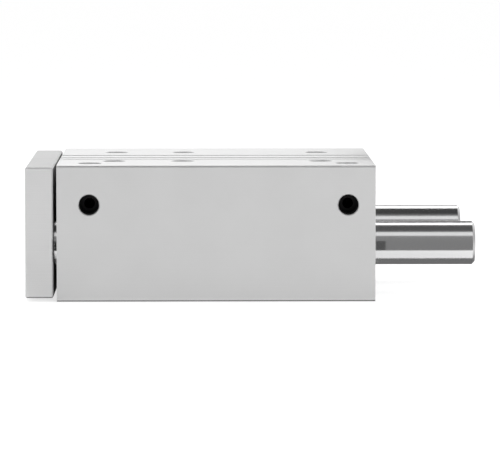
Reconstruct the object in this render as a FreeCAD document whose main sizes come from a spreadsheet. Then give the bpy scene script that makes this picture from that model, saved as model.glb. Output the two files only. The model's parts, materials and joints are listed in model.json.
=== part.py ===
import FreeCAD, Part
import os
import re
import Sketcher

# Guided pneumatic cylinder: one block holds the cylinder bore and two guide bores side by side.
# A yoke plate at the front ties the piston rod to two guide rods, which run out at the rear.
# X runs along the stroke, towards the rear. Y runs across the rods and Z is up.
# The origin is the middle of the housing's bottom face. Left is +Y, right is -Y, the port side.

doc = FreeCAD.newDocument("guided_cylinder")

# Driving dimensions, in millimetres
SIZES = {
    # Housing block, which grows outwards from the cylinder bore by its walls
    "stroke": 100,
    "bore_diameter": 63,
    "bore_wall": 7.5,
    "mount_to_bore": 6.3,
    "mount_to_guide": 4.98,
    "guide_side_wall": 4.98,
    "edge_radius": 1.5,
    # Two sensor slots and a shallow flat groove along the top face
    "slot_spacing": 21,
    "slot_mouth": 5.2,
    "slot_undercut": 0.7,
    "slot_lip": 1.6,
    "slot_depth": 4.6,
    "flat_offset": 26,
    "flat_width": 6,
    "flat_depth": 0.2,
    # Mounting holes through the block, in two rows
    "mount_front_setback": 32,
    "mount_pitch": 40,
    "mount_rear_setback": 30,
    "mount_core": 6.8,
    "centring_diameter": 14,
    "centring_depth": 2.6,
    "centring_chamfer": 0.2,
    # Air ports
    "port_core": 11.5,
    "port_chamfer": 0.5,
    "port_depth": 13,
    "port_over_guide": 23.5,
    "port_land_front": 2,
    "port_land_rear": 1.5,
    "channel_diameter": 6,
    "link_diameter": 4.5,
    "top_port_inset": 20,
    "plug_seat": 13.8,
    "plug_length": 10,
    "plug_recess": 1.2,
    "plug_socket": 6,
    "plug_socket_depth": 5,
    # Caps that close the cylinder bore, and their retaining rings
    "ring_setback": 2,
    "ring_thickness": 2.5,
    "ring_bite": 1.2,
    "ring_height": 3.2,
    "ring_lug_radius": 3.2,
    "ring_lug_hole": 2.5,
    "ring_opening": 6,
    "seat_step": 1,
    "front_flange": 9,
    "front_nose": 16.5,
    "rear_flange": 6.5,
    "rear_boss": 3.5,
    "nose_diameter": 50,
    "end_dish_diameter": 40,
    "end_dish_depth": 2,
    "oring_section": 2,
    "oring_side_room": 0.2,
    "bumper_rim": 3,
    "bumper_wall": 7,
    "bumper_stand": 4,
    "bumper_recess": 1.5,
    "bumper_chamfer": 0.8,
    # Piston rod with its bush and seal
    "piston_rod_diameter": 20,
    "rod_bush_wall": 1.5,
    "rod_seal_wall": 4.5,
    "rod_seal_length": 6.5,
    "rod_land": 2,
    "seal_lip": 1.2,
    "seal_relief": 0.6,
    "bush_chamfer": 0.5,
    # Piston
    "piston_front_length": 12,
    "piston_rear_length": 12,
    "magnet_length": 5,
    "piston_hub": 40,
    "piston_chamfer": 1,
    "piston_band_wall": 2.3,
    "piston_seal_setback": 3,
    "piston_seal_length": 5,
    "piston_seal_wall": 4.5,
    "piston_shoulder": 3,
    "nut_across_flats": 21,
    "nut_height": 6,
    "nut_side_room": 1.4,
    "nut_end_room": 1.5,
    # Guides
    "guide_rod_diameter": 25,
    "guide_drop": 7,
    "guide_overhang": 57.8,
    "guide_rod_chamfer": 1.5,
    "guide_rod_centre": 5,
    "guide_bush_wall": 2.5,
    "guide_bush_length": 38,
    "guide_bush_margin": 3,
    "guide_wiper_length": 4,
    "guide_ring_setback": 1,
    "guide_ring_thickness": 1.5,
    "guide_ring_bite": 1,
    "guide_ring_opening": 4,
    "guide_ring_rod_gap": 0.8,
    "guide_exit_gap": 1,
    # Yoke plate and its screws
    "yoke_gap": 2,
    "yoke_thickness": 16,
    "yoke_side_inset": 1,
    "yoke_top_inset": 1.2,
    "yoke_foot_inset": 2,
    "yoke_chamfer": 0.8,
    "yoke_hole_across": 64,
    "yoke_hole_upright": 44,
    "spigot_length": 5,
    "guide_shoulder": 3.5,
    "rod_shoulder": 2,
    "screw_recess": 0.5,
    "screw_tip_room": 2,
    "screw_shank": 10,
    "screw_length": 28,
    "screw_head": 16,
    "screw_head_height": 6,
    "screw_socket": 8,
    "screw_socket_depth": 3.5,
    # Clearances, on the radius or along the axis
    "running_gap": 0.03,
    "fixed_gap": 0.02,
    "seal_gap": 0.05,
    "thread_gap": 0.05,
    "ring_gap": 0.05,
    "piston_gap": 0.2,
    "head_gap": 0.5,
    "stop_gap": 0.25,
}

# Places worked out from the driving dimensions
PLACES = {
    # Radii
    "bore_radius": "bore_diameter / 2",
    "seat_radius": "bore_radius + seat_step",
    "ring_floor": "seat_radius + ring_bite",
    "flange_radius": "seat_radius - fixed_gap",
    "groove_floor": "seat_radius - oring_section - 2 * seal_gap",
    "nose_radius": "nose_diameter / 2",
    "bumper_outer": "nose_radius - bumper_rim",
    "bumper_inner": "bumper_outer - bumper_wall",
    "piston_radius": "bore_radius - piston_gap",
    "rod_radius": "piston_rod_diameter / 2",
    "rod_bush_radius": "rod_radius + rod_bush_wall",
    "rod_seal_radius": "rod_radius + rod_seal_wall",
    "rod_spigot": "rod_radius - rod_shoulder",
    "piston_spigot": "rod_radius - piston_shoulder",
    "guide_radius": "guide_rod_diameter / 2",
    "guide_spigot": "guide_radius - guide_shoulder",
    "guide_bush_radius": "guide_radius + guide_bush_wall",
    "guide_bore_radius": "guide_bush_radius + fixed_gap",
    "guide_ring_floor": "guide_bore_radius + guide_ring_bite",
    # Across the block
    "mount_y": "ring_floor + mount_to_bore",
    "guide_y": "mount_y + mount_to_guide + guide_bore_radius",
    "housing_width": "2 * (guide_y + guide_bore_radius + guide_side_wall)",
    "housing_height": "bore_diameter + 2 * bore_wall",
    "bore_height": "housing_height / 2",
    "guide_height": "bore_height - guide_drop",
    "port_height": "guide_height + port_over_guide",
    "top_port_y": "top_port_inset - housing_width / 2",
    # Depths from the front face of the block, or from its rear face
    "front_cap_depth": "ring_setback + ring_thickness",
    "front_seat_depth": "front_cap_depth + front_flange",
    "front_stop_depth": "front_seat_depth + front_nose + bumper_stand",
    "rear_seat_depth": "ring_setback + ring_thickness + rear_flange",
    "rear_stop_depth": "rear_seat_depth + rear_boss + bumper_stand",
    "piston_length": "piston_front_length + magnet_length + piston_rear_length",
    "housing_length": "front_stop_depth + piston_length + stroke + 2 * stop_gap + rear_stop_depth",
    "guide_wiper_depth": "guide_ring_setback + guide_ring_thickness",
    "guide_bush_depth": "guide_wiper_depth + guide_wiper_length",
    "guide_bore_end": "housing_length + guide_overhang - stroke - guide_rod_chamfer - guide_bush_margin",
    "front_port_depth": "front_seat_depth + port_land_front + channel_diameter / 2",
    "rear_port_depth": "rear_seat_depth + port_land_rear + channel_diameter / 2",
    # Along X
    "front_face": "-housing_length / 2",
    "rear_face": "housing_length / 2",
    "yoke_face": "front_face - yoke_gap - yoke_thickness",
    "spigot_face": "yoke_face + yoke_thickness - spigot_length",
    "piston_face": "rear_face - rear_stop_depth - stop_gap - piston_length",
}


def fill_sheet(name, cells):
    """Make a sheet with one named cell per row."""
    sheet = doc.addObject("Spreadsheet::Sheet", name)
    for row, (alias, content) in enumerate(cells.items(), start=1):
        sheet.set(f"A{row}", alias)
        sheet.set(f"B{row}", content)
        sheet.setAlias(f"B{row}", alias)
    return sheet


def tied(text, own=()):
    """Put the sheet's name before each dimension in an expression."""

    def with_sheet(match):
        word = match.group()
        if word in SIZES:
            return f"Sizes.{word}"
        if word in PLACES and word not in own:
            return f"Places.{word}"
        return word

    return re.sub(r"[a-z_]+", with_sheet, text)


fill_sheet("Sizes", {alias: str(size) for alias, size in SIZES.items()})
places = fill_sheet("Places", {alias: "=" + tied(text, PLACES) for alias, text in PLACES.items()})
doc.recompute()

sub_parts = []


def number(text):
    """The present value of an expression."""
    return float(places.evalExpression(tied(text)))


def new_body(label, x="0", y="0", z="0", exported=True):
    """Start a body whose own origin stands at x, y, z."""
    body = doc.addObject("PartDesign::Body", label)
    place(body, x, y, z)
    if exported:
        sub_parts.append(body)
    return body


def place(item, x, y, z):
    for axis, size in (("x", x), ("y", y), ("z", z)):
        item.setExpression(f"Placement.Base.{axis}", tied(size))


def origin_feature(body, role):
    return next(feature for feature in body.Origin.OriginFeatures if feature.Role == role)


def new_sketch(body, name, role, x="0", y="0", z="0"):
    """A sketch on one of the body's own planes, moved within that plane's axes."""
    sketch = body.newObject("Sketcher::SketchObject", name)
    sketch.AttachmentSupport = [(origin_feature(body, role), "")]
    sketch.MapMode = "FlatFace"
    for axis, size in (("x", x), ("y", y), ("z", z)):
        sketch.setExpression(f"AttachmentOffset.Base.{axis}", tied(size))
    return sketch


def measure(sketch, kind, axis, item, point, size):
    """Hold one sketch point at a size from the sketch's origin, along one axis."""
    reach = number(size)
    if abs(reach) < 1e-9:
        sketch.addConstraint(Sketcher.Constraint("PointOnObject", item, point, axis))
        return
    ends = (-1, 1, item, point) if reach > 0 else (item, point, -1, 1)
    index = sketch.addConstraint(Sketcher.Constraint(kind, *ends, abs(reach)))
    name = f"{kind}_{item}_{point}"
    sketch.renameConstraint(index, name)
    sketch.setExpression(f"Constraints.{name}", tied(size if reach > 0 else f"-({size})"))


def pin(sketch, item, point, across, up):
    measure(sketch, "DistanceX", -2, item, point, across)
    measure(sketch, "DistanceY", -1, item, point, up)


def add_outline(sketch, corners):
    """A closed outline of straight lines, with every corner measured."""
    points = [FreeCAD.Vector(number(across), number(up), 0) for across, up in corners]
    first = sketch.GeometryCount
    for start, end in zip(points, points[1:] + points[:1]):
        sketch.addGeometry(Part.LineSegment(start, end))
    count = len(points)
    for step, (across, up) in enumerate(corners):
        follower = first + (step + 1) % count
        sketch.addConstraint(Sketcher.Constraint("Coincident", first + step, 2, follower, 1))
        pin(sketch, first + step, 1, across, up)


def add_circle(sketch, across, up, radius):
    centre = FreeCAD.Vector(number(across), number(up), 0)
    circle = Part.Circle(centre, FreeCAD.Vector(0, 0, 1), number(radius))
    item = sketch.addGeometry(circle)
    pin(sketch, item, 3, across, up)
    index = sketch.addConstraint(Sketcher.Constraint("Radius", item, number(radius)))
    sketch.renameConstraint(index, f"radius_{item}")
    sketch.setExpression(f"Constraints.radius_{item}", tied(radius))


def hexagon(across_flats):
    """Corners of a hexagon that lies with two corners on the sketch's upright axis."""
    half, corner = f"{across_flats} / 2", f"{across_flats} / sqrt(3)"
    side = f"{corner} / 2"
    return [
        ("0", corner),
        (f"-{half}", side),
        (f"-{half}", f"-{side}"),
        ("0", f"-{corner}"),
        (half, f"-{side}"),
        (half, side),
    ]


def pad(body, sketch, length):
    feature = body.newObject("PartDesign::Pad", sketch.Name + "_pad")
    feature.Profile = sketch
    feature.setExpression("Length", tied(length))
    return feature


def pocket(body, sketch, depth):
    """Cut the sketch into the solid along the sketch's own normal."""
    feature = body.newObject("PartDesign::Pocket", sketch.Name + "_pocket")
    feature.Profile = sketch
    feature.Reversed = True
    feature.setExpression("Length", tied(depth))
    return feature


def turn(body, name, profile):
    """Turn a profile of (along X, radius) corners about the body's X axis."""
    sketch = new_sketch(body, name, "XY_Plane")
    add_outline(sketch, profile)
    feature = body.newObject("PartDesign::Revolution", name + "_turned")
    feature.Profile = sketch
    feature.ReferenceAxis = (sketch, ["H_Axis"])
    feature.Angle = 360
    return feature


def bore(body, name, sketch, profile, axis):
    """Cut a turned profile out of the body about one axis of its sketch."""
    add_outline(sketch, profile)
    feature = body.newObject("PartDesign::Groove", name + "_cut")
    feature.Profile = sketch
    feature.ReferenceAxis = (sketch, [axis])
    feature.Angle = 360
    return feature


def bore_lengthwise(body, name, y, z, profile):
    """A bore along X through y, z, from (along X, radius) corners."""
    sketch = new_sketch(body, name, "XZ_Plane", y=z, z=f"-({y})")
    return bore(body, name, sketch, profile, "H_Axis")


def mirror(body, name, originals):
    """Repeat cuts on the other side of the body's XZ plane."""
    feature = body.newObject("PartDesign::Mirrored", name)
    feature.Originals = originals
    feature.MirrorPlane = (origin_feature(body, "XZ_Plane"), [""])
    body.Tip = feature
    return feature


def turned_part(label, profile, x, y="0", z="0", exported=True):
    body = new_body(label, x, y, z, exported)
    turn(body, label + "_profile", profile)
    return body


def sleeve(inner, outer, length):
    """Profile of a plain bush with its outer edges broken."""
    return [
        ("0", inner),
        ("0", f"{outer} - bush_chamfer"),
        ("bush_chamfer", outer),
        (f"{length} - bush_chamfer", outer),
        (length, f"{outer} - bush_chamfer"),
        (length, inner),
    ]


# Housing: an extruded block with its sensor slots, then every bore and hole machined into it


def slot_corners(centre):
    """A T-shaped sensor slot in the top face, from its +Y edge to its -Y edge."""
    top, lip, floor = "housing_height", "housing_height - slot_lip", "housing_height - slot_depth"
    mouth, room = "slot_mouth / 2", "(slot_mouth / 2 + slot_undercut)"
    return [
        (f"{centre} + {mouth}", top),
        (f"{centre} + {mouth}", lip),
        (f"{centre} + {room}", lip),
        (f"{centre} + {room}", floor),
        (f"{centre} - {room}", floor),
        (f"{centre} - {room}", lip),
        (f"{centre} - {mouth}", lip),
        (f"{centre} - {mouth}", top),
    ]


housing = new_body("housing", x="front_face")
section = new_sketch(housing, "housing_section", "YZ_Plane")
flat_near, flat_far = "-flat_offset + flat_width / 2", "-flat_offset - flat_width / 2"
flat_corners = [
    (flat_near, "housing_height"),
    (flat_near, "housing_height - flat_depth"),
    (flat_far, "housing_height - flat_depth"),
    (flat_far, "housing_height"),
]
add_outline(
    section,
    [
        ("-housing_width / 2", "0"),
        ("housing_width / 2", "0"),
        ("housing_width / 2", "housing_height"),
        *slot_corners("slot_spacing / 2"),
        *slot_corners("-slot_spacing / 2"),
        *flat_corners,
        ("-housing_width / 2", "housing_height"),
    ],
)
block = pad(housing, section, "housing_length")
doc.recompute()

# The four long outer edges are rounded
side_reach = number("housing_width / 2")
same_place = 1e-6
long_edges = [
    f"Edge{index}"
    for index, edge in enumerate(block.Shape.Edges, start=1)
    if max(edge.BoundBox.YLength, edge.BoundBox.ZLength) < same_place
    and abs(abs(edge.BoundBox.YMin - housing.Placement.Base.y) - side_reach) < same_place
]
rounding = housing.newObject("PartDesign::Fillet", "housing_rounding")
rounding.Base = (block, long_edges)
rounding.setExpression("Radius", tied("edge_radius"))

# Cylinder bore, stepped at each end for a cap and grooved for its retaining ring
rear_ring_end = "housing_length - ring_setback"
rear_ring_start = "housing_length - ring_setback - ring_thickness"
bore_lengthwise(
    housing,
    "cylinder_bore",
    "0",
    "bore_height",
    [
        ("0", "0"),
        ("0", "seat_radius"),
        ("ring_setback - ring_gap", "seat_radius"),
        ("ring_setback - ring_gap", "ring_floor"),
        ("front_cap_depth", "ring_floor"),
        ("front_cap_depth", "seat_radius"),
        ("front_seat_depth", "seat_radius"),
        ("front_seat_depth", "bore_radius"),
        ("housing_length - rear_seat_depth", "bore_radius"),
        ("housing_length - rear_seat_depth", "seat_radius"),
        (rear_ring_start, "seat_radius"),
        (rear_ring_start, "ring_floor"),
        (f"{rear_ring_end} + ring_gap", "ring_floor"),
        (f"{rear_ring_end} + ring_gap", "seat_radius"),
        ("housing_length", "seat_radius"),
        ("housing_length", "0"),
    ],
)

# Guide bore: bushes go in from the front, and the rod runs out through a narrower exit
guide_exit = "guide_radius + guide_exit_gap"
guide_bore = bore_lengthwise(
    housing,
    "guide_bore",
    "-guide_y",
    "guide_height",
    [
        ("0", "0"),
        ("0", "guide_bore_radius"),
        ("guide_ring_setback - ring_gap", "guide_bore_radius"),
        ("guide_ring_setback - ring_gap", "guide_ring_floor"),
        ("guide_wiper_depth", "guide_ring_floor"),
        ("guide_wiper_depth", "guide_bore_radius"),
        ("guide_bore_end", "guide_bore_radius"),
        ("guide_bore_end", guide_exit),
        ("housing_length", guide_exit),
        ("housing_length", "0"),
    ],
)

# Mounting holes go right through, with a centring recess at both mouths
mount_stations = [
    "mount_front_setback",
    "mount_front_setback + mount_pitch",
    "housing_length - mount_rear_setback",
]
centring_mouth = "centring_diameter / 2 + centring_chamfer"
mount_profile = [
    ("0", "0"),
    (centring_mouth, "0"),
    ("centring_diameter / 2", "centring_chamfer"),
    ("centring_diameter / 2", "centring_depth"),
    ("mount_core / 2", "centring_depth"),
    ("mount_core / 2", "housing_height - centring_depth"),
    ("centring_diameter / 2", "housing_height - centring_depth"),
    ("centring_diameter / 2", "housing_height - centring_chamfer"),
    (centring_mouth, "housing_height"),
    ("0", "housing_height"),
]
mount_holes = []
for index, station in enumerate(mount_stations):
    name = f"mount_hole_{index}"
    sketch = new_sketch(housing, name, "XZ_Plane", x=station, z="mount_y")
    mount_holes.append(bore(housing, name, sketch, mount_profile, "V_Axis"))
mirror(housing, "left_bores", [guide_bore, *mount_holes])

# Each end has a port in the right side, and one in the top with a spot-faced seat for its plug.
# A narrower drilling links the top one to the channel of the side one.


def port_profile(inward, mouth, drilling, drilling_end):
    """Corners of a tapped port and the drilling behind it, inward along the sketch's upright axis."""
    channel = f"{drilling} / 2"
    corners = [
        ("0", "0"),
        *mouth,
        ("port_core / 2", "port_depth"),
        (channel, "port_depth"),
        (channel, drilling_end),
        ("0", drilling_end),
    ]
    return [(radius, f"{inward}({depth})") for radius, depth in corners]


side_sketch = new_sketch(
    housing, "side_port", "XY_Plane", x="front_port_depth", y="-housing_width / 2", z="port_height"
)
side_mouth = [("port_core / 2 + port_chamfer", "0"), ("port_core / 2", "port_chamfer")]
side_profile = port_profile("", side_mouth, "channel_diameter", "housing_width / 2 - bore_radius / 2")
side_port = bore(housing, "side_port", side_sketch, side_profile, "V_Axis")
top_sketch = new_sketch(
    housing, "top_port", "XZ_Plane", x="front_port_depth", y="housing_height", z="-top_port_y"
)
top_mouth = [("plug_seat / 2", "0"), ("plug_seat / 2", "plug_recess"), ("port_core / 2", "plug_recess")]
top_profile = port_profile("-", top_mouth, "link_diameter", "housing_height - port_height")
top_port = bore(housing, "top_port", top_sketch, top_profile, "V_Axis")
port_pair = housing.newObject("PartDesign::LinearPattern", "rear_ports")
port_pair.Originals = [side_port, top_port]
port_pair.Direction = (origin_feature(housing, "X_Axis"), [""])
port_pair.Occurrences = 2
port_pair.setExpression("Length", tied("housing_length - front_port_depth - rear_port_depth"))
housing.Tip = port_pair

# Blanking plugs close the two top ports, each a threaded slug with a hexagon socket


def port_plug(name, x):
    body = new_body(name, x, "top_port_y", "housing_height - plug_recess", exported=False)
    outline = new_sketch(body, name + "_round", "XY_Plane", z="-plug_length")
    add_circle(outline, "0", "0", "port_core / 2 - thread_gap")
    pad(body, outline, "plug_length")
    socket = new_sketch(body, name + "_socket", "XY_Plane", z="-plug_socket_depth")
    add_outline(socket, hexagon("plug_socket"))
    pocket(body, socket, "plug_socket_depth")
    return body


def group(label, bodies):
    """Identical pieces that share one sub-part."""
    compound = doc.addObject("Part::Compound", label)
    compound.Links = bodies
    sub_parts.append(compound)


group(
    "port_plugs",
    [
        port_plug("front_plug", "front_face + front_port_depth"),
        port_plug("rear_plug", "rear_face - rear_port_depth"),
    ],
)

# Bearing cap: a turned aluminium plug in the front of the bore that carries the rod bush and seal


def oring_groove(start, flange):
    """Corners of a groove in the middle of a cap's flange, which begins at start."""
    near = f"{start} + {flange} / 2 - oring_section / 2 - oring_side_room"
    far = f"{start} + {flange} / 2 + oring_section / 2 + oring_side_room"
    return [(near, "flange_radius"), (near, "groove_floor"), (far, "groove_floor"), (far, "flange_radius")]


def bumper_recess(face, floor):
    """Corners of the ring-shaped recess that holds a bumper, from the outside in."""
    outer, inner = "bumper_outer + fixed_gap", "bumper_inner - fixed_gap"
    return [(face, outer), (floor, outer), (floor, inner), (face, inner)]


bearing_cap_x = "front_face + front_cap_depth"
nose_end = "(front_flange + front_nose)"
rod_bush_start = "(rod_seal_length + rod_land)"
rod_passage = "rod_radius + seal_relief"
turned_part(
    "bearing_cap",
    [
        ("0", "rod_seal_radius + fixed_gap"),
        ("0", "flange_radius"),
        *oring_groove("0", "front_flange"),
        ("front_flange", "flange_radius"),
        ("front_flange", "nose_radius"),
        (nose_end, "nose_radius"),
        *bumper_recess(nose_end, f"{nose_end} - bumper_recess"),
        (nose_end, "rod_bush_radius + fixed_gap"),
        (rod_bush_start, "rod_bush_radius + fixed_gap"),
        (rod_bush_start, rod_passage),
        ("rod_seal_length", rod_passage),
        ("rod_seal_length", "rod_seal_radius + fixed_gap"),
    ],
    bearing_cap_x,
    z="bore_height",
)

turned_part(
    "rod_bush",
    sleeve("rod_radius + running_gap", "rod_bush_radius", f"({nose_end} - {rod_bush_start})"),
    f"{bearing_cap_x} + {rod_bush_start}",
    z="bore_height",
)


def inside_lip_ring(label, shaft, outer, length, x, y, z):
    """A rubber ring whose two lips bear on a shaft, the front one drawn out to a wiper."""
    lip = f"{shaft} + seal_gap"
    relief = f"{lip} + seal_relief"
    turned_part(
        label,
        [
            ("0", lip),
            ("0", relief),
            ("seal_lip", outer),
            (length, outer),
            (length, lip),
            (f"{length} - seal_lip", lip),
            (f"{length} - seal_lip - seal_relief", relief),
            ("seal_lip", relief),
        ],
        x,
        y,
        z,
    )


inside_lip_ring(
    "rod_seal", "rod_radius", "rod_seal_radius", "rod_seal_length", bearing_cap_x, "0", "bore_height"
)


def cap_oring(label, x):
    """O-ring between a cap's flange and the bore."""
    ring = doc.addObject("Part::Torus", label)
    ring.Placement.Rotation = FreeCAD.Rotation(FreeCAD.Vector(0, 1, 0), 90)
    ring.setExpression("Radius1", tied("seat_radius - seal_gap - oring_section / 2"))
    ring.setExpression("Radius2", tied("oring_section / 2"))
    place(ring, x, "0", "bore_height")
    sub_parts.append(ring)


cap_oring("bearing_cap_oring", f"{bearing_cap_x} + front_flange / 2")


def retaining_ring(label, x):
    """A spring steel ring, open at the bottom between two lugs with plier holes."""
    body = new_body(label, x, "0", "bore_height")
    band = new_sketch(body, label + "_band", "YZ_Plane")
    add_circle(band, "0", "0", "ring_floor - ring_gap")
    add_circle(band, "0", "0", "seat_radius - ring_height")
    pad(body, band, "ring_thickness")
    lug_across = "ring_opening / 2 + ring_lug_radius"
    lug_up = "-(seat_radius - ring_height - ring_lug_radius / 2)"
    lugs = new_sketch(body, label + "_lugs", "YZ_Plane")
    holes = new_sketch(body, label + "_holes", "YZ_Plane")
    for across in (lug_across, f"-({lug_across})"):
        add_circle(lugs, across, lug_up, "ring_lug_radius")
        add_circle(holes, across, lug_up, "ring_lug_hole / 2")
    pad(body, lugs, "ring_thickness")
    pocket(body, holes, "ring_thickness")
    cut_opening(body, label, "ring_opening", "ring_floor", "ring_thickness")


def cut_opening(body, label, width, depth, thickness):
    """Cut a ring open at the bottom."""
    opening = new_sketch(body, label + "_opening", "YZ_Plane")
    half = f"{width} / 2"
    corners = [(f"-{half}", "0"), (f"-{half}", f"-({depth})"), (half, f"-({depth})"), (half, "0")]
    add_outline(opening, corners)
    pocket(body, opening, thickness)


retaining_ring("bearing_cap_ring", "front_face + ring_setback")


def bumper(label, x):
    """An elastic end stop, half sunk in the face of a cap."""
    outer, inner, length = "bumper_outer", "bumper_inner", "(bumper_recess + bumper_stand)"
    turned_part(
        label,
        [
            ("bumper_chamfer", inner),
            ("0", f"{inner} + bumper_chamfer"),
            ("0", f"{outer} - bumper_chamfer"),
            ("bumper_chamfer", outer),
            (f"{length} - bumper_chamfer", outer),
            (length, f"{outer} - bumper_chamfer"),
            (length, f"{inner} + bumper_chamfer"),
            (f"{length} - bumper_chamfer", inner),
        ],
        x,
        z="bore_height",
    )


bumper("front_bumper", f"{bearing_cap_x} + {nose_end} - bumper_recess")

# End cap: a turned plug that closes the rear of the bore, dished on its outer face
end_cap_x = "rear_face - rear_seat_depth - rear_boss"
end_cap_length = "(rear_boss + rear_flange)"
turned_part(
    "end_cap",
    [
        ("0", "0"),
        *reversed(bumper_recess("0", "bumper_recess")),
        ("0", "nose_radius"),
        ("rear_boss", "nose_radius"),
        ("rear_boss", "flange_radius"),
        *oring_groove("rear_boss", "rear_flange"),
        (end_cap_length, "flange_radius"),
        (end_cap_length, "end_dish_diameter / 2"),
        (f"{end_cap_length} - end_dish_depth", "end_dish_diameter / 2 - end_dish_depth"),
        (f"{end_cap_length} - end_dish_depth", "0"),
    ],
    end_cap_x,
    z="bore_height",
)
cap_oring("end_cap_oring", f"{end_cap_x} + rear_boss + rear_flange / 2")
retaining_ring("end_cap_ring", "rear_face - ring_setback - ring_thickness")
bumper("rear_bumper", "rear_face - rear_stop_depth")

# Guide bushes, wipers, snap rings and rods, one set on each side
guide_sides = {"right": "-guide_y", "left": "guide_y"}
guide_rod_end = "(spigot_length + yoke_gap + housing_length + guide_overhang)"


def rod_front(spigot):
    """Front corners of a rod: its spigot in the yoke, with a drilled and tapped hole."""
    hole = "(screw_shank / 2 + thread_gap)"
    screw_tip = "screw_recess + screw_head_height + screw_length"
    depth = f"({screw_tip} - yoke_thickness + spigot_length + screw_tip_room)"
    return [(f"{depth} + {hole} / 2", "0"), (depth, hole), ("0", hole), ("0", spigot)]


for side, y in guide_sides.items():
    bush = sleeve("guide_radius + running_gap", "guide_bush_radius", "guide_bush_length")
    front_x, rear_x = "front_face + guide_bush_depth", "front_face + guide_bore_end - guide_bush_length"
    turned_part(f"guide_bush_front_{side}", bush, front_x, y, "guide_height")
    turned_part(f"guide_bush_rear_{side}", bush, rear_x, y, "guide_height")
    inside_lip_ring(
        f"guide_wiper_{side}",
        "guide_radius",
        "guide_bush_radius",
        "guide_wiper_length",
        "front_face + guide_wiper_depth",
        y,
        "guide_height",
    )

    snap_ring = new_body(f"guide_ring_{side}", "front_face + guide_ring_setback", y, "guide_height")
    band = new_sketch(snap_ring, f"guide_ring_{side}_band", "YZ_Plane")
    add_circle(band, "0", "0", "guide_ring_floor - ring_gap")
    add_circle(band, "0", "0", "guide_radius + guide_ring_rod_gap")
    pad(snap_ring, band, "guide_ring_thickness")
    cut_opening(
        snap_ring, f"guide_ring_{side}", "guide_ring_opening", "guide_ring_floor", "guide_ring_thickness"
    )

    turned_part(
        f"guide_rod_{side}",
        [
            *rod_front("guide_spigot"),
            ("spigot_length", "guide_spigot"),
            ("spigot_length", "guide_radius"),
            (f"{guide_rod_end} - guide_rod_chamfer", "guide_radius"),
            (guide_rod_end, "guide_radius - guide_rod_chamfer"),
            (guide_rod_end, "guide_rod_centre / 2"),
            (f"{guide_rod_end} - guide_rod_centre / 2 * sqrt(3)", "0"),
        ],
        "spigot_face",
        y,
        "guide_height",
    )

# Piston rod: its rear spigot goes through the piston and takes the clamping nut
rod_body_end = "(piston_face - spigot_face)"
nut_recess = "(nut_height + nut_end_room)"
rod_tail = f"({rod_body_end} + piston_length - nut_end_room)"
turned_part(
    "piston_rod",
    [
        *rod_front("rod_spigot"),
        ("spigot_length", "rod_spigot"),
        ("spigot_length", "rod_radius"),
        (rod_body_end, "rod_radius"),
        (rod_body_end, "piston_spigot"),
        (f"{rod_tail} - piston_chamfer", "piston_spigot"),
        (rod_tail, "piston_spigot - piston_chamfer"),
        (rod_tail, "0"),
    ],
    "spigot_face",
    z="bore_height",
)

# Piston: two aluminium halves clamp the magnet and the guide band between them
spigot_hole = "piston_spigot + fixed_gap"
seal_floor = "piston_radius - piston_seal_wall"
edge_reach = "piston_radius - piston_chamfer"
seal_end = "piston_seal_setback + piston_seal_length"
seal_groove = [
    ("piston_seal_setback", "piston_radius"),
    ("piston_seal_setback", seal_floor),
    (seal_end, seal_floor),
    (seal_end, "piston_radius"),
]
magnet_end = "piston_front_length + magnet_length"
turned_part(
    "piston_front",
    [
        ("0", spigot_hole),
        ("0", edge_reach),
        ("piston_chamfer", "piston_radius"),
        *seal_groove,
        ("piston_front_length", "piston_radius"),
        ("piston_front_length", "piston_hub / 2"),
        (magnet_end, "piston_hub / 2"),
        (magnet_end, spigot_hole),
    ],
    "piston_face",
    z="bore_height",
)
piston_rear_x = f"piston_face + {magnet_end}"
nut_recess_radius = "nut_across_flats / sqrt(3) + nut_side_room"
turned_part(
    "piston_rear",
    [
        ("0", spigot_hole),
        ("0", "piston_radius"),
        *[(f"piston_rear_length - ({along})", radius) for along, radius in reversed(seal_groove)],
        ("piston_rear_length - piston_chamfer", "piston_radius"),
        ("piston_rear_length", edge_reach),
        ("piston_rear_length", nut_recess_radius),
        (f"piston_rear_length - {nut_recess}", nut_recess_radius),
        (f"piston_rear_length - {nut_recess}", spigot_hole),
    ],
    piston_rear_x,
    z="bore_height",
)
magnet_outer = "piston_radius - piston_band_wall - fixed_gap"
magnet_x = "piston_face + piston_front_length"


def flat_ring(label, inner, outer):
    """A plain ring that fills the space between the piston halves."""
    corners = [("0", inner), ("0", outer), ("magnet_length", outer), ("magnet_length", inner)]
    turned_part(label, corners, magnet_x, z="bore_height")


flat_ring("piston_magnet", "piston_hub / 2 + fixed_gap", magnet_outer)
flat_ring("piston_guide_band", "piston_radius - piston_band_wall", "bore_radius - running_gap")


def piston_seal(label, x):
    """A rubber ring with two lips that bear on the bore."""
    floor, lip = f"{seal_floor} + fixed_gap", "bore_radius - seal_gap"
    turned_part(
        label,
        [
            ("fixed_gap", floor),
            ("fixed_gap", lip),
            ("seal_lip", lip),
            ("seal_lip + seal_relief", f"{lip} - seal_relief"),
            ("piston_seal_length - seal_lip - seal_relief", f"{lip} - seal_relief"),
            ("piston_seal_length - seal_lip", lip),
            ("piston_seal_length - fixed_gap", lip),
            ("piston_seal_length - fixed_gap", floor),
        ],
        x,
        z="bore_height",
    )


piston_seal("piston_seal_front", "piston_face + piston_seal_setback")
piston_seal("piston_seal_rear", f"{piston_rear_x} + piston_rear_length - ({seal_end})")

nut = new_body("piston_nut", f"piston_face + piston_length - {nut_recess}", "0", "bore_height")
nut_outline = new_sketch(nut, "piston_nut_outline", "YZ_Plane")
add_outline(nut_outline, hexagon("nut_across_flats"))
add_circle(nut_outline, "0", "0", "piston_spigot + thread_gap")
pad(nut, nut_outline, "nut_height")

# Yoke plate: a milled bar with a counterbore and a spigot seat for each rod, and mounting holes


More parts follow.
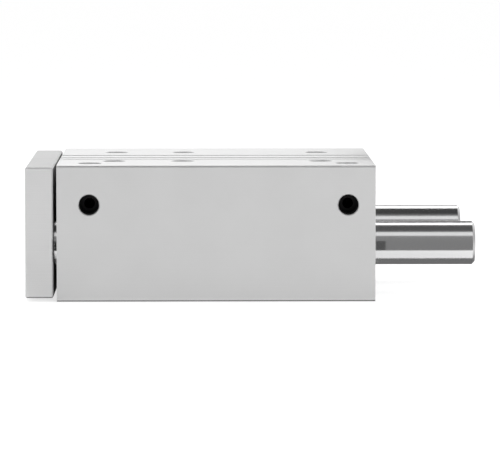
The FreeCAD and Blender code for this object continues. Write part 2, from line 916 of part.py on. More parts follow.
def yoke_seat(name, y, z, spigot):
    """Counterbore, screw hole and spigot seat on one line through the plate."""
    head = "screw_head / 2 + head_gap"
    floor = "screw_recess + screw_head_height"
    hole = "screw_shank / 2 + head_gap"
    seat = "yoke_thickness - spigot_length - fixed_gap"
    profile = [
        ("0", "0"),
        ("0", head),
        (floor, head),
        (floor, hole),
        (seat, hole),
        (seat, f"{spigot} + fixed_gap"),
        ("yoke_thickness", f"{spigot} + fixed_gap"),
        ("yoke_thickness", "0"),
    ]
    return bore_lengthwise(yoke, name, y, z, profile)


yoke = new_body("yoke_plate", x="yoke_face")
yoke_outline = new_sketch(yoke, "yoke_outline", "YZ_Plane", y="bore_height")
yoke_side = "(housing_width / 2 - yoke_side_inset)"
yoke_top, yoke_foot = "housing_height - bore_height - yoke_top_inset", "yoke_foot_inset - bore_height"
add_outline(
    yoke_outline,
    [
        (f"-{yoke_side}", yoke_foot),
        (yoke_side, yoke_foot),
        (yoke_side, yoke_top),
        (f"-{yoke_side}", yoke_top),
    ],
)
bar = pad(yoke, yoke_outline, "yoke_thickness")
doc.recompute()
broken_edges = yoke.newObject("PartDesign::Chamfer", "yoke_broken_edges")
broken_edges.Base = (bar, [f"Edge{index}" for index in range(1, len(bar.Shape.Edges) + 1)])
broken_edges.setExpression("Size", tied("yoke_chamfer"))
yoke_seat("rod_seat", "0", "bore_height", "rod_spigot")
guide_seat = yoke_seat("guide_seat", guide_sides["right"], "guide_height", "guide_spigot")
yoke_holes = []
for name, z in (
    ("lower", "bore_height - yoke_hole_upright / 2"),
    ("upper", "bore_height + yoke_hole_upright / 2"),
):
    hole_profile = [
        ("0", "0"),
        ("0", centring_mouth),
        ("centring_chamfer", "centring_diameter / 2"),
        ("centring_depth", "centring_diameter / 2"),
        ("centring_depth", "mount_core / 2"),
        ("yoke_thickness", "mount_core / 2"),
        ("yoke_thickness", "0"),
    ]
    yoke_holes.append(bore_lengthwise(yoke, f"yoke_hole_{name}", "-yoke_hole_across / 2", z, hole_profile))
mirror(yoke, "left_seats", [guide_seat, *yoke_holes])

# Low-head socket screws hold the yoke plate on the rods


def yoke_screw(name, y, z):
    head_height, tip = "screw_head_height", "screw_head_height + screw_length"
    profile = [
        ("0", "0"),
        ("0", "screw_head / 2"),
        (head_height, "screw_head / 2"),
        (head_height, "screw_shank / 2"),
        (tip, "screw_shank / 2"),
        (tip, "0"),
    ]
    body = turned_part(name, profile, "yoke_face + screw_recess", y, z, exported=False)
    socket = new_sketch(body, name + "_socket", "YZ_Plane")
    add_outline(socket, hexagon("screw_socket"))
    pocket(body, socket, "screw_socket_depth")
    return body


group(
    "yoke_screws",
    [
        yoke_screw("rod_screw", "0", "bore_height"),
        *[yoke_screw(f"guide_screw_{side}", y, "guide_height") for side, y in guide_sides.items()],
    ],
)

doc.recompute()

# Every object must be sound, and every cut must take something away, before anything is written
for item in doc.Objects:
    if "Invalid" in item.State or "Error" in item.State:
        raise RuntimeError(f"{item.Label} failed: {item.State}")
    if item.TypeId in ("PartDesign::Groove", "PartDesign::Pocket", "PartDesign::Mirrored"):
        if item.Shape.Volume >= item.BaseFeature.Shape.Volume:
            raise RuntimeError(f"{item.Label} cuts nothing")

os.makedirs("parts", exist_ok=True)
for sub_part in sub_parts:
    if sub_part.Shape.isNull() or not sub_part.Shape.isValid():
        raise RuntimeError(f"{sub_part.Label} has no valid shape")
for sub_part in sub_parts:
    sub_part.Shape.exportStep(f"parts/{sub_part.Label}.step")
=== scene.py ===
import json
import math

import bmesh
import bpy
from mathutils import Matrix, Vector


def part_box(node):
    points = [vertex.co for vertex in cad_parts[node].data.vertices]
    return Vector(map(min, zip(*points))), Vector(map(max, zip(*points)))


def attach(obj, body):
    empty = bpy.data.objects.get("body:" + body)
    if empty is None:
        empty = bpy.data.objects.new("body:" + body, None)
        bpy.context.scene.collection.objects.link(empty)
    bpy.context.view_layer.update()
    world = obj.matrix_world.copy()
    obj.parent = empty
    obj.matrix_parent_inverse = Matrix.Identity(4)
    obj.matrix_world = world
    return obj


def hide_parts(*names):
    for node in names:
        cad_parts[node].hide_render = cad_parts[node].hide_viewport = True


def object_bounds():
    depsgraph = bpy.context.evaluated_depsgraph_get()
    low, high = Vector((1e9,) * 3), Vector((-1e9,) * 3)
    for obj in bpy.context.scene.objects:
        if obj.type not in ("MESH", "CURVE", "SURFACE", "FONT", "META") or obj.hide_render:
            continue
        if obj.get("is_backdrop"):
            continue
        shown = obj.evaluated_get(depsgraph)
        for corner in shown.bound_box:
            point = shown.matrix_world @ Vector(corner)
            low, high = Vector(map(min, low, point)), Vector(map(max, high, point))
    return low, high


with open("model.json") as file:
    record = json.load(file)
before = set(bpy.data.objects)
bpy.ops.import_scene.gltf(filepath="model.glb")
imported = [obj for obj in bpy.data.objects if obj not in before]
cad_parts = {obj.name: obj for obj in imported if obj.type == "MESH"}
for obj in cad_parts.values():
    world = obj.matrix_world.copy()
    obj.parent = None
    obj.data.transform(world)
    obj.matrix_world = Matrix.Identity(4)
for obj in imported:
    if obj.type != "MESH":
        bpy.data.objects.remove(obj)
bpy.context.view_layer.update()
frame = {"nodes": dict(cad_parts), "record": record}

# Housing
# An extruded aluminium block, sawn to length, milled on both ends, bored and tapped.
# It is fine bead-blasted and clear anodised, which leaves an even satin grey. Deep holes are painted dark,
# black at the bottom: a painted shade.
MM = 0.001
HOUSING_GREY = (0.625, 0.625, 0.625)
HOUSING_CUTTER = (0, -150)
# Heights in mm between which holes in the housing get painted shade.
HOUSING_PAINTED_SHADE_SPAN = (4.0, 66.0)
BLOTCH_SIZE = 28 * MM
BLOTCH_DETAIL, GRAIN_DETAIL, MARKS_DETAIL = 3.0, 2.0, 2.0
NOISE_LOW, NOISE_HIGH = 0.3, 0.7
GRAIN_GLOSS, MARKS_GLOSS = 0.07, 0.08
EDGE_SAMPLES = 6
# Sharp edges are painted up to 7 % brighter: a painted highlight, and wear.
EDGE_LIKENESS, EDGE_BRIGHTENING = 0.9, 1.07
END_FACE_BLEND = 0.15
# Recess shade is painted into the colour from how closed in a place is; shallow cuts on top are painted
# brighter.
RECESS_SAMPLES = 32
RECESS_BLACK, RECESS_CLEAR = 0.24, 0.34
PAINTED_SHADE_BLEND = 1.0
FOOT_TONE = 0.28
SHALLOW_TONE, SHALLOW_FULL, SHALLOW_NONE = 1.18, 0.6, 0.95


def node(tree, kind, sockets=None, **options):
    """Add a shader node, set its options, and fill or link its sockets."""
    made = tree.nodes.new("ShaderNode" + kind)
    for option, value in options.items():
        setattr(made, option, value)
    for socket, value in (sockets or {}).items():
        if isinstance(value, bpy.types.NodeSocket):
            tree.links.new(value, made.inputs[socket])
        else:
            made.inputs[socket].default_value = value
    return made


def times(tree, first, second):
    return node(tree, "Math", {0: first, 1: second}, operation="MULTIPLY").outputs[0]


def larger(tree, first, second):
    return node(tree, "Math", {0: first, 1: second}, operation="MAXIMUM").outputs[0]


def spread(tree, value, low, high, start=NOISE_LOW, end=NOISE_HIGH):
    """Stretch a value that runs from start to end over the range low to high."""
    sockets = {"Value": value, "From Min": start, "From Max": end, "To Min": low, "To Max": high}
    return node(tree, "MapRange", sockets).outputs[0]


def rings_about(y, z):
    """Tool marks that run round a line along X: rings on a face, straight lines along a side."""

    def distance(tree, place):
        centre = (0.0, y * MM, z * MM)
        offset = node(tree, "VectorMath", {0: place, 1: centre}, operation="SUBTRACT").outputs[0]
        flat = node(tree, "VectorMath", {0: offset, 1: (0.0, 1.0, 1.0)}, operation="MULTIPLY").outputs[0]
        return node(tree, "VectorMath", {0: flat}, operation="LENGTH").outputs["Value"]

    return distance


def recess_shade(tree, place, reach, tone, painted_shade_span):
    """Darken what has walls close round it, as painted shade. reach is how far off a wall still counts, in
    mm.

    The last argument gives the heights between which this holds. Below them a recess is painted less dark,
    and above them none is painted dark and shallow cuts are painted a little brighter than the face, which
    lifts their shade.
    """
    openness = node(tree, "AmbientOcclusion", {"Distance": reach * MM}, samples=RECESS_SAMPLES).outputs["AO"]
    painted_recess_darkening = spread(tree, openness, tone, 1.0, RECESS_BLACK, RECESS_CLEAR)
    if painted_shade_span is None:
        return painted_recess_darkening
    foot, top = painted_shade_span
    height = node(tree, "SeparateXYZ", {0: place}).outputs["Z"]
    below = spread(tree, height, FOOT_TONE, 0.0, (foot - PAINTED_SHADE_BLEND) * MM, foot * MM)
    above = spread(tree, height, 0.0, 1.0, top * MM, (top + PAINTED_SHADE_BLEND) * MM)
    shallow = spread(tree, openness, SHALLOW_TONE, 1.0, SHALLOW_FULL, SHALLOW_NONE)
    return larger(tree, painted_recess_darkening, larger(tree, below, times(tree, above, shallow)))


def finish(
    name, colour, roughness, metallic=1.0, specular=0.5, grain=0.15, relief=0.003, mottle=0.015, edge=0.3,
    marks=None, marks_pitch=0.3, marks_relief=0.001, painted_shade_reach=0.0, painted_shade_tone=0.02, painted_shade_span=None, end_faces=None,
):
    """A material with blotches, grain, tool marks, softened edges with a painted highlight and wear, and
    painted shade in recesses. Sizes in mm.

    end_faces gives an axis, the tone and roughness of the faces square to it, and how square they start.
    """
    material = bpy.data.materials.new(name)
    material.use_nodes = True
    tree = material.node_tree
    shader = tree.nodes["Principled BSDF"]
    shader.inputs["Metallic"].default_value = metallic
    shader.inputs["Specular IOR Level"].default_value = specular
    place = node(tree, "TexCoord").outputs["Object"]
    cloud = {"Vector": place, "Scale": 1 / BLOTCH_SIZE, "Detail": BLOTCH_DETAIL}
    blotches = node(tree, "TexNoise", cloud).outputs[0]
    speckle = {"Vector": place, "Scale": 1 / (grain * MM), "Detail": GRAIN_DETAIL}
    grains = node(tree, "TexNoise", speckle).outputs[0]
    tone = spread(tree, blotches, 1 - mottle, 1 + mottle)
    tone = times(tree, tone, spread(tree, grains, 1 - mottle, 1 + mottle))
    rounded = node(tree, "Bevel", {"Radius": edge * MM}, samples=EDGE_SAMPLES).outputs[0]
    faced = node(tree, "NewGeometry").outputs["Normal"]
    likeness = node(tree, "VectorMath", {0: rounded, 1: faced}, operation="DOT_PRODUCT").outputs["Value"]
    # Sharp edges are painted a little brighter: painted highlight and wear.
    tone = times(tree, tone, spread(tree, likeness, EDGE_BRIGHTENING, 1.0, EDGE_LIKENESS, 1.0))
    # Recesses are painted darker: painted shade.
    if painted_shade_reach:
        tone = times(tree, tone, recess_shade(tree, place, painted_shade_reach, painted_shade_tone, painted_shade_span))
    rough = spread(tree, grains, roughness * (1 - GRAIN_GLOSS), roughness * (1 + GRAIN_GLOSS))
    if end_faces:
        axis, end_tone, end_roughness, start = end_faces
        full = start + END_FACE_BLEND
        side = node(tree, "SeparateXYZ", {0: faced}).outputs[axis]
        square = node(tree, "Math", {0: side}, operation="ABSOLUTE").outputs[0]
        tone = times(tree, tone, spread(tree, square, 1.0, end_tone, start, full))
        rough = times(tree, rough, spread(tree, square, 1.0, end_roughness / roughness, start, full))
    mixed = {0: 1.0, 6: (*colour, 1.0), 7: tone}
    shade = node(tree, "Mix", mixed, data_type="RGBA", blend_type="MULTIPLY")
    tree.links.new(shade.outputs[2], shader.inputs["Base Color"])
    normal = node(tree, "Bump", {"Height": grains, "Distance": relief * MM, "Normal": rounded}).outputs[0]
    if marks:
        turns = {"W": marks(tree, place), "Scale": 1 / (marks_pitch * MM), "Detail": MARKS_DETAIL}
        grooves = node(tree, "TexNoise", turns, noise_dimensions="1D").outputs[0]
        rough = times(tree, rough, spread(tree, grooves, 1 - MARKS_GLOSS, 1 + MARKS_GLOSS))
        cut = {"Height": grooves, "Distance": marks_relief * MM, "Normal": normal}
        normal = node(tree, "Bump", cut).outputs[0]
    tree.links.new(rough, shader.inputs["Roughness"])
    tree.links.new(normal, shader.inputs["Normal"])
    return material


def dress(material, *names):
    """Give CAD nodes their finish."""
    for name in names:
        frame["nodes"][name].material_slots[0].material = material


# Its holes and gaps are painted dark, a painted shade; shallow cuts in its top are painted a little
# brighter.
satin = finish(
    "satin_anodised", colour=HOUSING_GREY, roughness=0.45, grain=0.12,
    marks=rings_about(*HOUSING_CUTTER), marks_pitch=0.45, painted_shade_reach=20.0, painted_shade_span=HOUSING_PAINTED_SHADE_SPAN,
)
dress(satin, "housing")

# Tapped threads
# Threads cut in the side ports and in both mouths of every mounting hole. Each is one ridge that winds
# along the wall of its hole: bright bare metal in the mounting holes, painted black in the ports as painted
# shade.
THREAD_STEPS, THREAD_FADE_STEPS = 24, 6
THREAD_BITE = 0.06
RIDGE_FOOT, RIDGE_CREST = (0.06, 0.94), (0.44, 0.56)
RIDGE_LEFT_AT_END = 0.05
HOLE_PITCH, HOLE_RIDGE, HOLE_LENGTH = 1.25, 0.28, 14.0
PORT_PITCH, PORT_RIDGE, PORT_LENGTH = 1.337, 0.4, 11.0
PORT_LEAD = 0.15
ALONG_X, ALONG_Y = Vector((1, 0, 0)), Vector((0, 1, 0))
mounts = {mount["name"]: mount for mount in frame["record"]["mounts"]}


def thread(shape, mouth, inward, core, pitch, ridge, length):
    """Wind a ridge round the wall of a hole, from its mouth inward. Sizes in mm."""
    side = inward.orthogonal().normalized()
    up = inward.cross(side)
    steps = round(length / pitch * THREAD_STEPS)
    last = None
    for step in range(steps + 1):
        turn = 2 * math.pi * step / THREAD_STEPS
        outward = side * math.cos(turn) + up * math.sin(turn)
        start = mouth + inward * (pitch * step / THREAD_STEPS)
        fade = min(1.0, step / THREAD_FADE_STEPS, (steps - step) / THREAD_FADE_STEPS)
        wall, crest = core + THREAD_BITE, core - ridge * max(fade, RIDGE_LEFT_AT_END)
        profile = zip((RIDGE_FOOT[0], *RIDGE_CREST, RIDGE_FOOT[1]), (wall, crest, crest, wall))
        corners = [
            shape.verts.new((start + inward * (pitch * along) + outward * reach) * MM)
            for along, reach in profile
        ]
        if last is None:
            shape.faces.new(corners[::-1])
        else:
            for one in range(len(corners)):
                two = (one + 1) % len(corners)
                shape.faces.new((last[one], last[two], corners[two], corners[one]))
        last = corners
    shape.faces.new(last)


def tap_holes(shape, name, first_way, second_way, length):
    """Thread every hole of one of the record's bolt patterns, whose spacings run along two ways."""
    mount = mounts[name]
    middle, inward = Vector(mount["pos_m"]) / MM, -Vector(mount["axis"])
    first_half = mount["dims"].get("spacing_x_mm", 0.0) / 2
    second_half = mount["dims"]["spacing_y_mm"] / 2
    for first in sorted({-first_half, first_half}):
        for second in (-second_half, second_half):
            mouth = middle + first_way * first + second_way * second
            thread(shape, mouth, inward, mount["dims"]["hole_r_mm"], HOLE_PITCH, HOLE_RIDGE, length)


def piece_from(shape, name, material, body):
    """Turn a finished shape into a piece that rides on a body."""
    bmesh.ops.recalc_face_normals(shape, faces=shape.faces[:])
    mesh = bpy.data.meshes.new(name)
    shape.to_mesh(mesh)
    shape.free()
    mesh.materials.append(material)
    piece = bpy.data.objects.new(name, mesh)
    bpy.context.scene.collection.objects.link(piece)
    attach(piece, body)
    return piece


# The port threads are painted near black, a painted shade for the dark inside of the ports.
shade_black = finish(
    "shade_black_thread", colour=(0.015, 0.015, 0.015), roughness=0.5, metallic=0.0, specular=0.08,
    grain=0.2, mottle=0.05, painted_shade_reach=5.0,
)
port_threads = bmesh.new()
for name in ("front_port", "rear_port"):
    outward, core = Vector(mounts[name]["axis"]), mounts[name]["dims"]["r_mm"]
    mouth = Vector(mounts[name]["pos_m"]) / MM + outward * PORT_LEAD
    thread(port_threads, mouth, -outward, core, PORT_PITCH, PORT_RIDGE, PORT_LENGTH)
piece_from(port_threads, "port_threads", shade_black, "housing")

tapped = finish("tapped_thread", colour=(0.62, 0.62, 0.63), roughness=0.3, grain=0.2, mottle=0.05)
housing_threads = bmesh.new()
for name in ("base_bolts", "base_bolts_middle", "top_bolts", "top_bolts_middle"):
    tap_holes(housing_threads, name, ALONG_X, ALONG_Y, HOLE_LENGTH)
piece_from(housing_threads, "housing_threads", tapped, "housing")

# Blanking plugs
# Turned steel screw plugs with a hexagon socket, zinc plated.
# They are screwed into the two ports of the top face and close them.
rod_low, rod_high = (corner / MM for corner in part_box("piston_rod"))
bore_axis = (rod_low + rod_high) / 2
# Recesses in the plugs, such as the hexagon sockets, get painted shade.
zinc = finish(
    "zinc_plated_steel", colour=(0.52, 0.52, 0.53), roughness=0.34, grain=0.4, mottle=0.05,
    marks=rings_about(bore_axis.y, bore_axis.z), painted_shade_reach=3.0,
)
dress(zinc, "port_plugs")

# Cylinder caps
# Two turned aluminium plugs in the ends of the cylinder bore, the front one with the rod's bronze bush and
# rubber seal. An O-ring seals each, a spring steel ring holds it, and a bumper stops the piston.
# Recesses in the turned parts get painted shade.
turned = finish(
    "turned_aluminium", colour=(0.66, 0.66, 0.67), roughness=0.32, grain=0.1, relief=0.001,
    marks=rings_about(bore_axis.y, bore_axis.z), marks_pitch=0.2, marks_relief=0.004, painted_shade_reach=4.0,
)
dress(turned, "bearing_cap", "end_cap")
# Recesses in the bushes get painted shade.
bronze = finish(
    "sintered_bronze", colour=(0.42, 0.25, 0.11), roughness=0.45,
    grain=0.35, relief=0.01, mottle=0.12, painted_shade_reach=2.0,
)
dress(bronze, "rod_bush")
rubber = finish(
    "moulded_rubber", colour=(0.022, 0.022, 0.023), roughness=0.55, metallic=0.0,
    grain=0.3, relief=0.006, mottle=0.1,
)
dress(rubber, "rod_seal", "bearing_cap_oring", "end_cap_oring", "front_bumper", "rear_bumper")
# Recesses by the spring rings get painted shade.
phosphated = finish(
    "phosphated_spring_steel", colour=(0.11, 0.11, 0.115), roughness=0.5,
    grain=0.25, relief=0.006, mottle=0.12, painted_shade_reach=2.0,
)
dress(phosphated, "bearing_cap_ring", "end_cap_ring")

# Guides in the housing
# Each guide rod runs in two pressed-in bronze bushes. A rubber wiper in front of them keeps dirt out,
# and a snap ring in a groove at the mouth of the bore holds the wiper.
for side in ("left", "right"):
    dress(bronze, f"guide_bush_front_{side}", f"guide_bush_rear_{side}")
    dress(rubber, f"guide_wiper_{side}")
    dress(phosphated, f"guide_ring_{side}")

# Piston
# Two turned aluminium halves on the rod's spigot clamp a bonded magnet ring and a plastic guide band.
# A lip seal sits in each half and a nut holds the stack.
dress(turned, "piston_front", "piston_rear")
magnet = finish(
    "bonded_magnet", colour=(0.05, 0.05, 0.052), roughness=0.6, metallic=0.0,
    grain=0.4, relief=0.01, mottle=0.15,
)
dress(magnet, "piston_magnet")
band = finish(
    "band_plastic", colour=(0.62, 0.58, 0.48), roughness=0.5, metallic=0.0,
    grain=0.5, relief=0.004, mottle=0.05,
)
dress(band, "piston_guide_band")
dress(rubber, "piston_seal_front", "piston_seal_rear")
dress(zinc, "piston_nut")

# Rods
# Two guide rods and the piston rod, of hardened steel, ground to size and hard chromed.
# The grinding leaves lines round the rod that are only just there. The faced ends are duller.
ROD_ENDS = ("X", 0.75, 0.4, 0.5)


def along_rod(tree, place):
    """Marks that run round a rod follow one another along X."""
    return node(tree, "SeparateXYZ", {0: place}).outputs["X"]


# Where walls close round a rod, as in the gap behind the yoke, it is painted darker: painted shade.
chrome = finish(
    "hard_chrome", colour=(0.72, 0.72, 0.725), roughness=0.17,
    grain=0.3, relief=0.0001, mottle=0.01, edge=0.15,
    marks=along_rod, marks_pitch=0.15, marks_relief=0.0002, painted_shade_reach=1.0, end_faces=ROD_ENDS,
)
dress(chrome, "guide_rod_left", "guide_rod_right", "piston_rod")

# Yoke plate
# A milled aluminium bar with broken edges, blasted and anodised like the housing.
# Four holes in its front face are tapped for the load. Its top and foot are painted a little darker, a
# painted shade.
YOKE_GREY = (0.75, 0.75, 0.75)
YOKE_CUTTER = (0, -110)
# Heights in mm between which the plate's recesses get painted shade.
YOKE_PAINTED_SHADE_SPAN = (6.0, 80.0)
# The top and foot are painted 16 % darker: painted shade.
YOKE_TOP_AND_FOOT = ("Z", 0.84, 0.75, 0.8)
YOKE_HOLE_LENGTH = 11.5
ALONG_Z = Vector((0, 0, 1))
# Its recesses get a lighter painted shade than the housing's.
milled = finish(
    "milled_anodised", colour=YOKE_GREY, roughness=0.75, grain=0.12,
    marks=rings_about(*YOKE_CUTTER), marks_pitch=0.22, marks_relief=0.0005,
    painted_shade_reach=20.0, painted_shade_tone=0.4, painted_shade_span=YOKE_PAINTED_SHADE_SPAN, end_faces=YOKE_TOP_AND_FOOT,
)
dress(milled, "yoke_plate")
yoke_threads = bmesh.new()
tap_holes(yoke_threads, "yoke_bolts", ALONG_Y, ALONG_Z, YOKE_HOLE_LENGTH)
piece_from(yoke_threads, "yoke_threads", tapped, "slider")

# Yoke screws
# Low-head socket screws of zinc plated steel, with a rounded rim.
# They pull the plate against the shoulders of the three rods.
SCREW_SIDES = 48
HEAD_RADIUS, HEAD_HEIGHT, HEAD_CHAMFER = 8.0, 6.0, 0.3
RIM_ROUND, RIM_STEPS = 0.9, 3
KEY_ACROSS, KEY_DEPTH = 8.0, 3.5
KEY_MOUTH_RADIUS, KEY_MOUTH_DEPTH = 5.0, 0.4
DRILL_POINT_DEPTH, DRILL_POINT_ACROSS = 5.0, 0.4
SHANK_RADIUS, SCREW_LENGTH = 4.3, 34.0
TIP_RADIUS, TIP_LENGTH = 3.6, 0.8


def ring(shape, x, axis, reach):
    """A closed row of points round an axis along X. reach gives the radius at each angle."""
    points = []
    for step in range(SCREW_SIDES):
        turn = 2 * math.pi * step / SCREW_SIDES
        y, z = axis.y + reach(turn) * math.cos(turn), axis.z + reach(turn) * math.sin(turn)
        points.append(shape.verts.new(Vector((x, y, z)) * MM))
    return points


def round_reach(radius):
    return lambda turn: radius


def hexagon_reach(across_flats):
    half_side = math.pi / 6
    return lambda turn: across_flats / 2 / math.cos((turn + half_side) % (2 * half_side) - half_side)


def socket_screw(shape, front, axis):
    """Head with a rounded rim and a hexagon socket that ends in a drill point, on a round shank."""
    stations = [
        (DRILL_POINT_DEPTH, hexagon_reach(DRILL_POINT_ACROSS)),
        (KEY_DEPTH, hexagon_reach(KEY_ACROSS)),
        (KEY_MOUTH_DEPTH, hexagon_reach(KEY_ACROSS)),
        (0.0, round_reach(KEY_MOUTH_RADIUS)),
    ]
    for step in range(RIM_STEPS + 1):
        lean = math.pi / 2 * step / RIM_STEPS
        radius = HEAD_RADIUS - RIM_ROUND * (1 - math.sin(lean))
        stations.append((RIM_ROUND * (1 - math.cos(lean)), round_reach(radius)))
    stations += [
        (HEAD_HEIGHT - HEAD_CHAMFER, round_reach(HEAD_RADIUS)),
        (HEAD_HEIGHT, round_reach(HEAD_RADIUS - HEAD_CHAMFER)),
        (HEAD_HEIGHT, round_reach(SHANK_RADIUS)),
        (SCREW_LENGTH - TIP_LENGTH, round_reach(SHANK_RADIUS)),
        (SCREW_LENGTH, round_reach(TIP_RADIUS)),
    ]
    rows = [ring(shape, front + depth, axis, reach) for depth, reach in stations]
    for near, far in zip(rows, rows[1:]):
        for one in range(SCREW_SIDES):
            two = (one + 1) % SCREW_SIDES
            shape.faces.new((near[one], near[two], far[two], far[one]))
    shape.faces.new(rows[0][::-1])
    shape.faces.new(rows[-1])


screw_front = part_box("yoke_screws")[0].x / MM
screws = bmesh.new()
for rod in ("piston_rod", "guide_rod_left", "guide_rod_right"):
    low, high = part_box(rod)
    socket_screw(screws, screw_front, (low + high) / 2 / MM)
screw_piece = piece_from(screws, "yoke_socket_screws", zinc, "slider")
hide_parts("yoke_screws")

# Camera
# It stands far off before the part, a little above it and left of its middle, with a long lens.
# Turn and dip are in degrees, lens and film in mm.
CAMERA_PLACE = Vector((-12.53, -2180.96, 217.48)) * MM
CAMERA_TURN, CAMERA_DIP = 0.868, 4.7217
CAMERA_LENS, CAMERA_FILM = 266.13, 36.0
camera = bpy.data.objects.new("camera", bpy.data.cameras.new("camera"))
camera.data.sensor_fit = "HORIZONTAL"
camera.data.sensor_width = CAMERA_FILM
camera.data.lens = CAMERA_LENS
camera.location = CAMERA_PLACE
camera.rotation_euler = (math.radians(90 - CAMERA_DIP), 0.0, math.radians(-CAMERA_TURN))
bpy.context.scene.collection.objects.link(camera)
bpy.context.scene.camera = camera
bpy.context.scene.view_settings.view_transform = "Standard"

# Floor
# A wide sheet of matt white. A glow that only the eye and reflections meet keeps it white,
# and the glow is a little weaker close to the part, a painted shadow.
FLOOR_REACH = 20.0
FLOOR_DROP = 0.1 * MM
FLOOR_WHITE = (0.6, 0.6, 0.6, 1.0)
FLOOR_GLOW = 0.74
FLOOR_GLOW_BESIDE_PART = 0.92 * FLOOR_GLOW
FLOOR_SHADE_REACH, FLOOR_SHADE_SAMPLES = 150 * MM, 8
floor_corners = [(x * FLOOR_REACH, y * FLOOR_REACH, 0.0) for x, y in ((-1, -1), (1, -1), (1, 1), (-1, 1))]
floor_mesh = bpy.data.meshes.new("floor")
floor_mesh.from_pydata(floor_corners, [], [(0, 1, 2, 3)])
floor = bpy.data.objects.new("floor", floor_mesh)
floor.location.z = -FLOOR_DROP
bpy.context.scene.collection.objects.link(floor)
floor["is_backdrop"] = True
white = bpy.data.materials.new("floor_white")
white.use_nodes = True
tree = white.node_tree
paint = tree.nodes["Principled BSDF"]
paint.inputs["Base Color"].default_value = FLOOR_WHITE
paint.inputs["Roughness"].default_value = 1.0
paint.inputs["Specular IOR Level"].default_value = 0.0
paint.inputs["Emission Color"].default_value = (1.0, 1.0, 1.0, 1.0)
path = node(tree, "LightPath")
seen = larger(tree, path.outputs["Is Camera Ray"], path.outputs["Is Glossy Ray"])
seen = larger(tree, seen, path.outputs["Is Transmission Ray"])
# The glow dims where the part hides the sky round a spot: the part's shadow, painted.
search = {"Distance": FLOOR_SHADE_REACH}
clear = node(tree, "AmbientOcclusion", search, samples=FLOOR_SHADE_SAMPLES).outputs["AO"]
glow = times(tree, seen, spread(tree, clear, FLOOR_GLOW_BESIDE_PART, FLOOR_GLOW, 0.0, 1.0))
tree.links.new(glow, paint.inputs["Emission Strength"])
floor_mesh.materials.append(white)

# Softboxes
# Two long lamps run along the part, one above and behind it and one above and before it.
# Two short ones stand before it on the left and on the right. All are aimed at the part.
BOX_DISTANCE = 1.6
LONG_BOX, SHORT_BOX = 3.0, 0.8


def softbox(name, angle, half_width, radiance, length, turn=0.0):
    """angle runs up from the front horizon, over the top, to the back. turn swings the lamp round Z."""
    lamp = bpy.data.lights.new(name, "AREA")
    lamp.shape = "RECTANGLE"
    lamp.size = length
    lamp.size_y = 2 * BOX_DISTANCE * math.tan(math.radians(half_width))
    lamp.energy = radiance * math.pi * lamp.size * lamp.size_y
    box = bpy.data.objects.new(name, lamp)
    slope, swing = math.radians(angle), math.radians(turn)
    before = Vector((0.0, -BOX_DISTANCE * math.cos(slope), BOX_DISTANCE * math.sin(slope)))
    box.location = Matrix.Rotation(swing, 3, "Z") @ before
    box.rotation_euler = (math.pi / 2 - slope, 0.0, swing)
    box.visible_camera = False
    bpy.context.scene.collection.objects.link(box)


softbox("rear_softbox", angle=128.5, half_width=14.5, radiance=1.4, length=LONG_BOX)
softbox("front_softbox", angle=51.0, half_width=10.0, radiance=0.72, length=LONG_BOX)
softbox("left_softbox", angle=30.0, half_width=14.0, radiance=1.8, length=SHORT_BOX, turn=-40.0)
softbox("right_softbox", angle=30.0, half_width=14.0, radiance=1.8, length=SHORT_BOX, turn=40.0)

# Cards
# Grey and dark cards round the rods, which draw the bands on polished chrome: upright strips before them,
# mats under them, one card above and one far behind. They show only in reflections and cast no shadow.
# The mats, the strip in the gap behind the yoke and the shade strip by the housing stand for floor and gap
# in the part's shade: painted shadow.
STRIP_START, SHADE_END, GREY_END = 0.5, 6.5, 62.0
STRIP_INSET, STRIP_HEIGHTS = 1.0, (23.0, 35.5)
MAT_START, MAT_END = 1.0, 99.0
MAT_DEPTHS, MAT_HEIGHT = (-70.7, 30.0), 0.3
ROOF_DEPTHS, ROOF_HEIGHT = (25.0, 102.0), 132.0
REAR_SPAN, REAR_DEPTH, REAR_HEIGHTS = (150.0, 300.0), 1440.0, (308.0, 841.0)


def flag(name, light, corners):
    """A card of an even light that only reflections show. Corners in mm."""
    sheet = bpy.data.meshes.new(name)
    sheet.from_pydata([Vector(corner) * MM for corner in corners], [], [(0, 1, 2, 3)])
    card = bpy.data.objects.new(name, sheet)
    card.visible_camera = False
    card.visible_diffuse = False
    card.visible_shadow = False
    bpy.context.scene.collection.objects.link(card)
    card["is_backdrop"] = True
    paper = bpy.data.materials.new(name)
    paper.use_nodes = True
    board = paper.node_tree.nodes["Principled BSDF"]
    board.inputs["Base Color"].default_value = (0.0, 0.0, 0.0, 1.0)
    board.inputs["Specular IOR Level"].default_value = 0.0
    board.inputs["Emission Color"].default_value = (light, light, light, 1.0)
    board.inputs["Emission Strength"].default_value = 1.0
    sheet.materials.append(paper)


def upright_flag(name, light, span, depth, heights):
    """A card that stands along X, at one depth along Y."""
    (left, right), (foot, top) = span, heights
    flag(name, light, ((left, depth, foot), (right, depth, foot), (right, depth, top), (left, depth, top)))


def level_flag(name, light, span, depths, height):
    """A card that lies flat, at one height."""
    (left, right), (near, far) = span, depths
    outline = ((left, near), (right, near), (right, far), (left, far))
    flag(name, light, [(x, y, height) for x, y in outline])


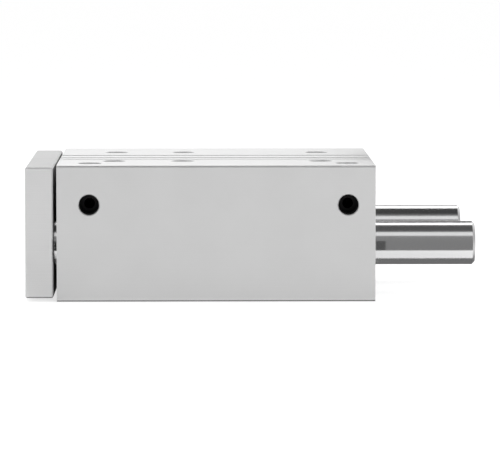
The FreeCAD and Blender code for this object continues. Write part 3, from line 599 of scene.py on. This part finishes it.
housing_low, housing_high = (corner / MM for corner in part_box("housing"))
gap_span = (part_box("yoke_plate")[1].x / MM, housing_low.x)
shade_span = (housing_high.x + STRIP_START, housing_high.x + SHADE_END)
grey_span = (housing_high.x + SHADE_END, housing_high.x + GREY_END)
mat_span = (housing_high.x + MAT_START, housing_high.x + MAT_END)
strip_depth = housing_low.y + STRIP_INSET
upright_flag("shade_strip", 0.11, shade_span, strip_depth, STRIP_HEIGHTS)
upright_flag("grey_strip", 0.26, grey_span, strip_depth, STRIP_HEIGHTS)
upright_flag("gap_strip", 0.03, gap_span, strip_depth, STRIP_HEIGHTS)
level_flag("gap_mat", 0.15, gap_span, MAT_DEPTHS, MAT_HEIGHT)
level_flag("dark_mat", 0.2, mat_span, MAT_DEPTHS, MAT_HEIGHT)
level_flag("roof_flag", 0.06, mat_span, ROOF_DEPTHS, ROOF_HEIGHT)
upright_flag("rear_flag", 0.2, REAR_SPAN, REAR_DEPTH, REAR_HEIGHTS)

# Room
# What lies beyond the lamps: white along the front horizon, grey above it, dark overhead, white behind.
# Each band is an angle in degrees, up from the front horizon to the back one, and its light.
ROOM_BANDS = (
    (0, 0.9), (5, 0.9), (9, 0.26), (64, 0.26), (70, 0.105), (107, 0.105),
    (113, 0.6), (150, 1.22), (180, 1.22),
)
HALF_TURN = 180
room = bpy.data.worlds.new("studio")
room.use_nodes = True
bpy.context.scene.world = room
tree = room.node_tree
heading = node(tree, "SeparateXYZ", {0: node(tree, "TexCoord").outputs["Generated"]})
forward = times(tree, heading.outputs["Y"], -1.0)
climb = node(tree, "Math", {0: heading.outputs["Z"], 1: forward}, operation="ARCTAN2").outputs[0]
bands = node(tree, "ValToRGB", {0: times(tree, climb, 1 / math.pi)})
stops = bands.color_ramp.elements
for angle, _ in ROOM_BANDS[1:-1]:
    stops.new(angle / HALF_TURN)
for stop, (angle, light) in zip(stops, ROOM_BANDS):
    stop.position = angle / HALF_TURN
    stop.color = (light, light, light, 1.0)
tree.links.new(bands.outputs[0], tree.nodes["Background"].inputs["Color"])

low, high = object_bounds()
